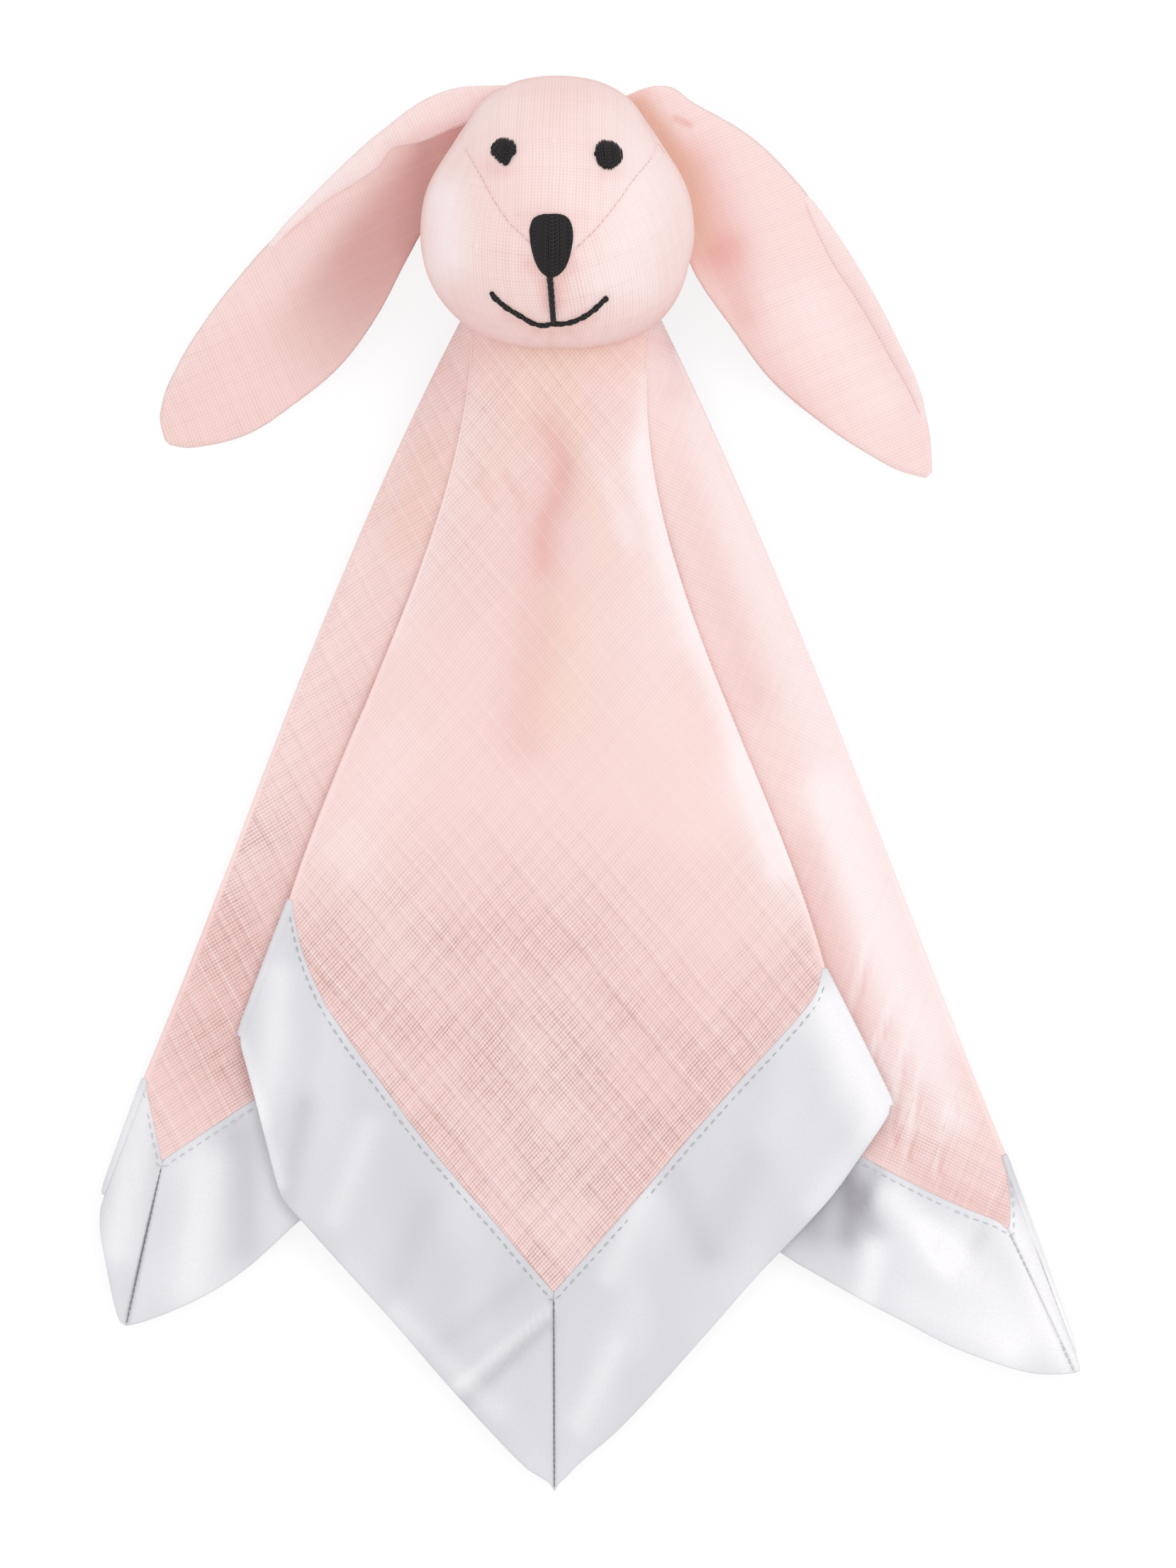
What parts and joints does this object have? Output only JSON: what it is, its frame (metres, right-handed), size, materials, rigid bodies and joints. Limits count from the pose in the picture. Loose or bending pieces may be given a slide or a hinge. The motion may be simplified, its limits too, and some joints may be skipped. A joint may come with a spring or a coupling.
{
  "type": "comfort blanket lovey",
  "caption": "Square muslin comfort blanket with a satin border, sewn at its middle to a small stuffed rabbit head with long flat ears and an embroidered face.",
  "frame": {"origin": "middle of the footprint on the surface that the lovey lies on", "axes": "+Z out of the face, up from the surface; +Y from the blanket towards the crown of the head; +X to the right of the picture, the toy's own left"},
  "size_m": [0.2226, 0.3216, 0.0622],
  "materials": {
    "muslin_pink": "matte gauze weave",
    "muslin_pale": "matte gauze weave",
    "muslin_lining": "matte gauze weave",
    "satin_white": "satin weave, soft sheen",
    "thread_grey": "sewing thread",
    "thread_pink": "sewing thread",
    "thread_black": "embroidery thread",
    "stuffing": "polyester fibre"
  },
  "bodies": {
    "blanket": {"muslin_panel": "muslin_pink", "satin_front_left": "satin_white", "satin_front_right": "satin_white", "satin_back_left": "satin_white", "satin_back_right": "satin_white", "topstitch_front": "thread_grey", "topstitch_left": "thread_grey", "topstitch_right": "thread_grey", "topstitch_back": "thread_grey", "mitre_stitch_front": "thread_grey", "mitre_stitch_left": "thread_grey", "mitre_stitch_right": "thread_grey", "mitre_stitch_back": "thread_grey"},
    "neck": {"neck_thread": "thread_pink"},
    "head": {"head_stuffing": "stuffing", "head_back": "muslin_pink", "crown_gusset": "muslin_pink", "cheek_left": "muslin_pale", "cheek_right": "muslin_pale", "eye_left": "thread_black", "eye_right": "thread_black", "nose": "thread_black", "mouth_line": "thread_black", "smile": "thread_black"},
    "ear_left": {"ear_lining_left": "muslin_lining", "ear_back_left": "muslin_pale"},
    "ear_right": {"ear_lining_right": "muslin_lining", "ear_back_right": "muslin_pale"}
  },
  "joints": [
    {"name": "neck_nod", "type": "hinge", "parent": "blanket", "child": "neck", "pos_m": [-0.00782, 0.10602, 0.026], "axis": [1, 0, 0], "range_deg": [0, 35]},
    {"name": "head_turn", "type": "hinge", "parent": "neck", "child": "head", "pos_m": [-0.00782, 0.10602, 0.026], "axis": [0, 1, 0], "range_deg": [-30, 30]},
    {"name": "ear_left_lift", "type": "hinge", "parent": "head", "child": "ear_left", "pos_m": [-0.03607, 0.1445, 0.026], "axis": [0.454, 0.891, 0], "range_deg": [0, 90]},
    {"name": "ear_right_lift", "type": "hinge", "parent": "head", "child": "ear_right", "pos_m": [0.0221, 0.1405, 0.026], "axis": [0.3291, -0.9443, 0], "range_deg": [0, 90]}
  ]
}
